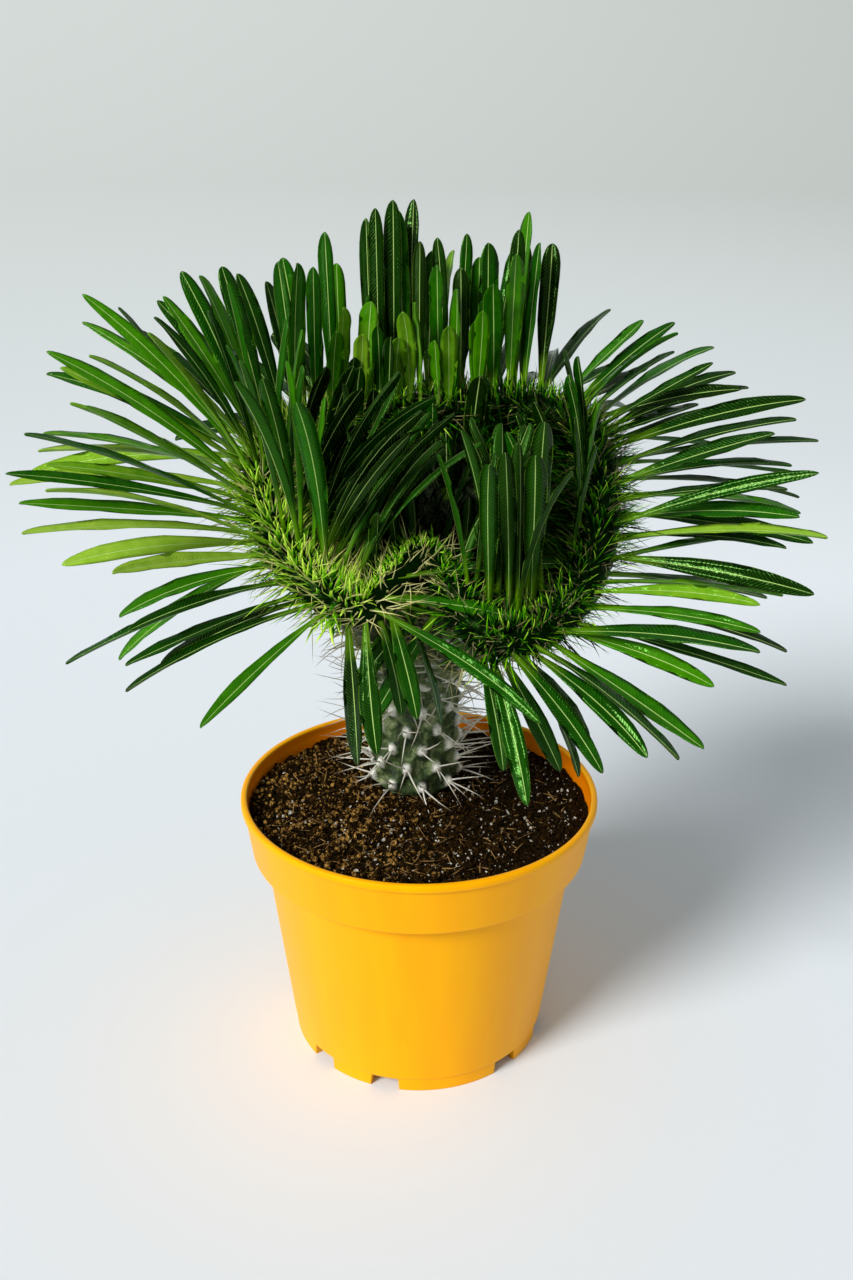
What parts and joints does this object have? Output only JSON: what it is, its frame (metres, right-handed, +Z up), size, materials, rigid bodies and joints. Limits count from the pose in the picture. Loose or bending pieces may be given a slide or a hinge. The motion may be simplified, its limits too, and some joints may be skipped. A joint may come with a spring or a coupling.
{
  "type": "crested madagascar palm in a nursery pot",
  "caption": "Spiny succulent with a thick trunk that fans out into a folded crest of long strap leaves, planted in potting mix in a moulded plastic pot.",
  "frame": {"origin": "on the surface that the pot stands on, at the pot's axis, which is also the middle of the overall box", "axes": "+Z up along the pot's axis; -Y towards the front, where the crest folds in; +X to the right seen from the front"},
  "size_m": [0.4679, 0.3232, 0.5053],
  "materials": {
    "pot_plastic": "satin moulded polypropylene, yellow-orange",
    "potting_mix": "loose moist peat with perlite grains",
    "bark": "grey-green succulent bark with felted tubercles and pale spines",
    "leaf": "glossy waxed green leaf"
  },
  "bodies": {
    "root": {"pot": "pot_plastic", "potting_soil": "potting_mix", "crested_stem": "bark", "crest_foliage": "leaf"}
  },
  "joints": []
}
